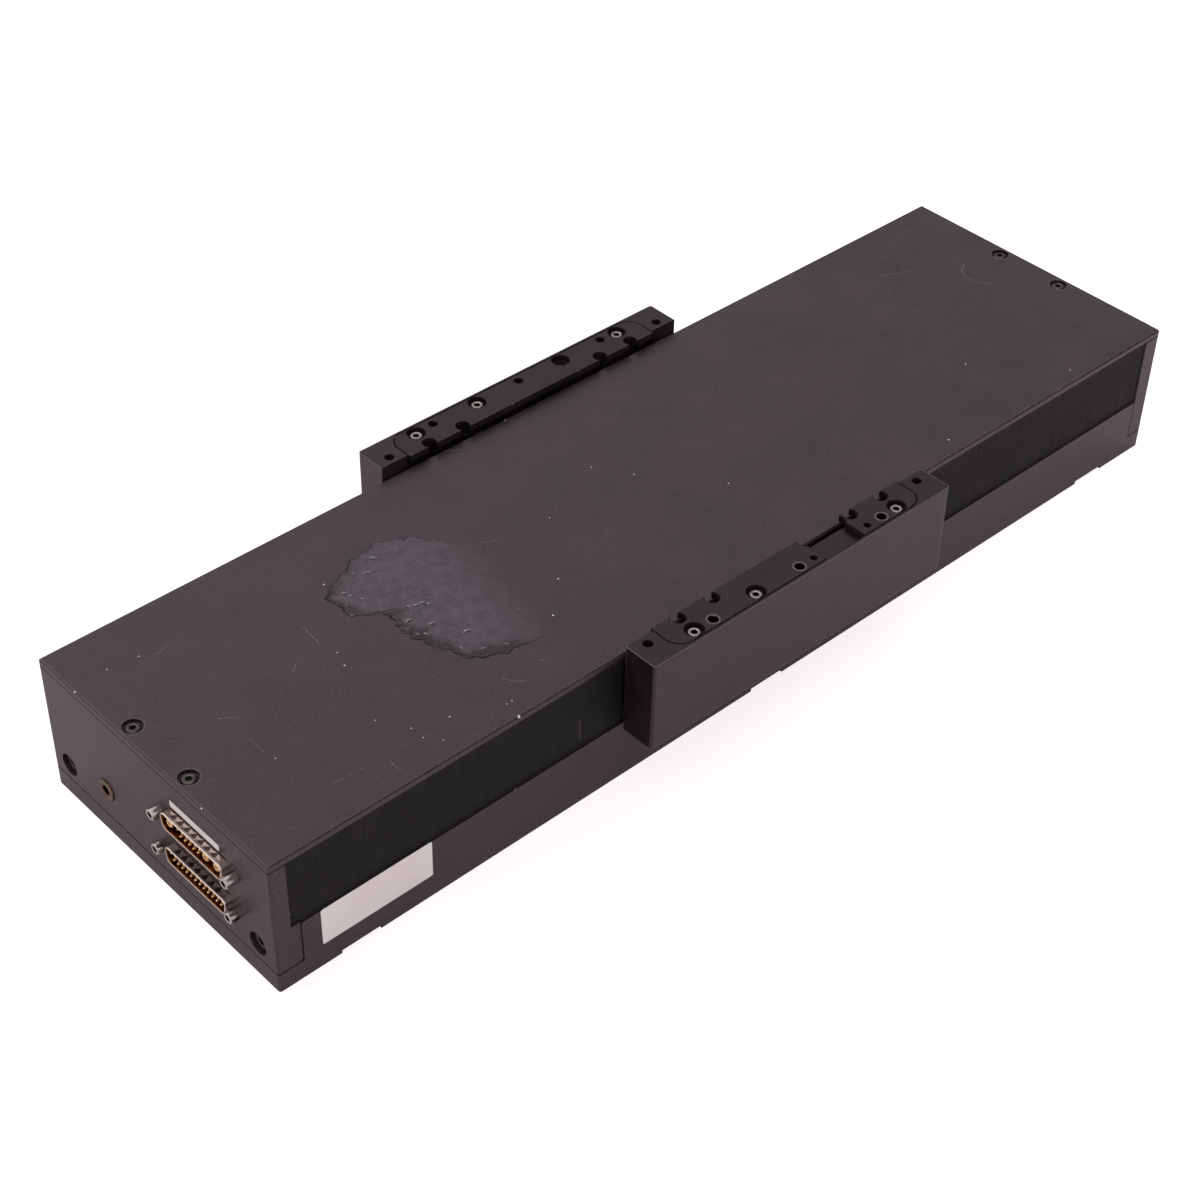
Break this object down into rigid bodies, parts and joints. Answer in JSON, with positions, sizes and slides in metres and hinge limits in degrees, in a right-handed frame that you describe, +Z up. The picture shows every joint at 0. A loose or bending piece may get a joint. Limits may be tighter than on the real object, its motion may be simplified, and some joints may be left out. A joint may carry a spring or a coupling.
{
  "type": "linear stage",
  "caption": "Long flat motorized linear stage: closed dark body with a hard cover and side seals, and a carriage that slides inside and carries a load on riser bars along both sides.",
  "frame": {"origin": "middle of the body's underside", "axes": "+X along the travel, away from the connector end; +Y towards the far side; +Z up"},
  "size_m": [0.528, 0.186, 0.0725],
  "materials": {
    "anodised": "dark grey-brown anodised, fine matt",
    "cover": "dark anodised sheet, satin, stained and lightly scratched",
    "insert": "hard dark coating, smooth satin",
    "seal": "black ribbed seal",
    "steel": "bright turned steel",
    "dark_steel": "blackened steel",
    "brass": "turned brass",
    "tinned_shell": "tin plated",
    "insulator": "orange-brown moulded",
    "contact": "gold plated",
    "magnet": "nickel plated",
    "scale": "polished strip",
    "black_plastic": "moulded",
    "bumper": "moulded",
    "coil": "potted resin"
  },
  "bodies": {
    "frame": {"base": "anodised", "connector_end_plate": "anodised", "plain_end_plate": "anodised", "end_plate_screws": "dark_steel", "top_cover": "cover", "cover_screws": "dark_steel", "near_upper_seal": "seal", "far_upper_seal": "seal", "near_lower_seal": "seal", "far_lower_seal": "seal", "near_rail": "steel", "far_rail": "steel", "magnet_yoke": "steel", "lower_magnets": "magnet", "upper_magnets": "magnet", "power_connector_shell": "tinned_shell", "power_connector_insulator": "insulator", "power_connector_contacts": "contact", "signal_connector_shell": "tinned_shell", "signal_connector_insulator": "insulator", "signal_connector_contacts": "contact", "jack_posts": "steel", "purge_plug": "brass", "encoder_scale": "scale", "connector_end_limit_sensor": "black_plastic", "plain_end_limit_sensor": "black_plastic", "connector_end_bumper": "bumper", "plain_end_bumper": "bumper"},
    "carriage": {"carriage_saddle": "anodised", "near_connector_end_truck": "steel", "near_plain_end_truck": "steel", "far_connector_end_truck": "steel", "far_plain_end_truck": "steel", "truck_screws": "dark_steel", "forcer_bar": "anodised", "forcer_coil": "coil", "forcer_screws": "dark_steel", "encoder_read_head": "black_plastic", "limit_flags": "steel", "near_riser": "anodised", "far_riser": "anodised", "riser_screws": "dark_steel", "near_long_insert": "insert", "near_short_insert": "insert", "far_insert": "insert", "insert_screws": "steel"}
  },
  "joints": [
    {"name": "carriage_slide", "type": "slide", "parent": "frame", "child": "carriage", "axis": [1, 0, 0], "range_m": [-0.15, 0.15]}
  ]
}
